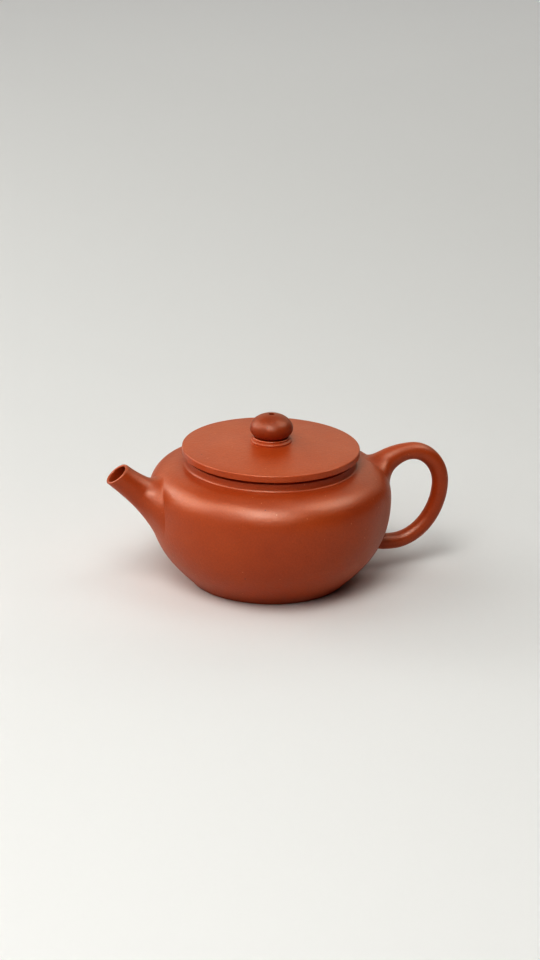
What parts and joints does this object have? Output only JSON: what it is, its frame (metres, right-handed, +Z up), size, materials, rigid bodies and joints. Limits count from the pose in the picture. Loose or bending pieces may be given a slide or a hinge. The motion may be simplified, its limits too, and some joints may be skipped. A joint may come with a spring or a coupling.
{
  "type": "clay teapot",
  "caption": "Squat round clay teapot with a flat domed lid, low knob with a vent hole, short flared spout with a pierced strainer dome, and a round loop handle.",
  "frame": {"origin": "on the pot's axis, in the plane of the ring it rests on", "axes": "+Z up along the pot's axis, +X towards the handle, the spout points to -X, the handle and spout lie in the XZ plane"},
  "size_m": [0.1426, 0.098, 0.0695],
  "materials": {
    "pot_clay": "satin, unglazed, burnished",
    "lid_clay": "satin, unglazed, burnished"
  },
  "bodies": {
    "pot": {"base_slab": "pot_clay", "body_wall": "pot_clay", "shoulder_slab": "pot_clay", "neck_ring": "pot_clay", "spout": "pot_clay", "strainer_dome": "pot_clay", "handle": "pot_clay"},
    "lid_seat": {"lid_flange": "lid_clay"},
    "lid": {"lid_plate": "lid_clay", "knob_step": "lid_clay", "knob": "lid_clay"}
  },
  "joints": [
    {"name": "lid_lift", "type": "slide", "parent": "pot", "child": "lid_seat", "axis": [0, 0, 1], "range_m": [0, 0.06]},
    {"name": "lid_turn", "type": "hinge", "parent": "lid_seat", "child": "lid", "pos_m": [0, 0, 0.053], "axis": [0, 0, 1], "continuous": true}
  ]
}
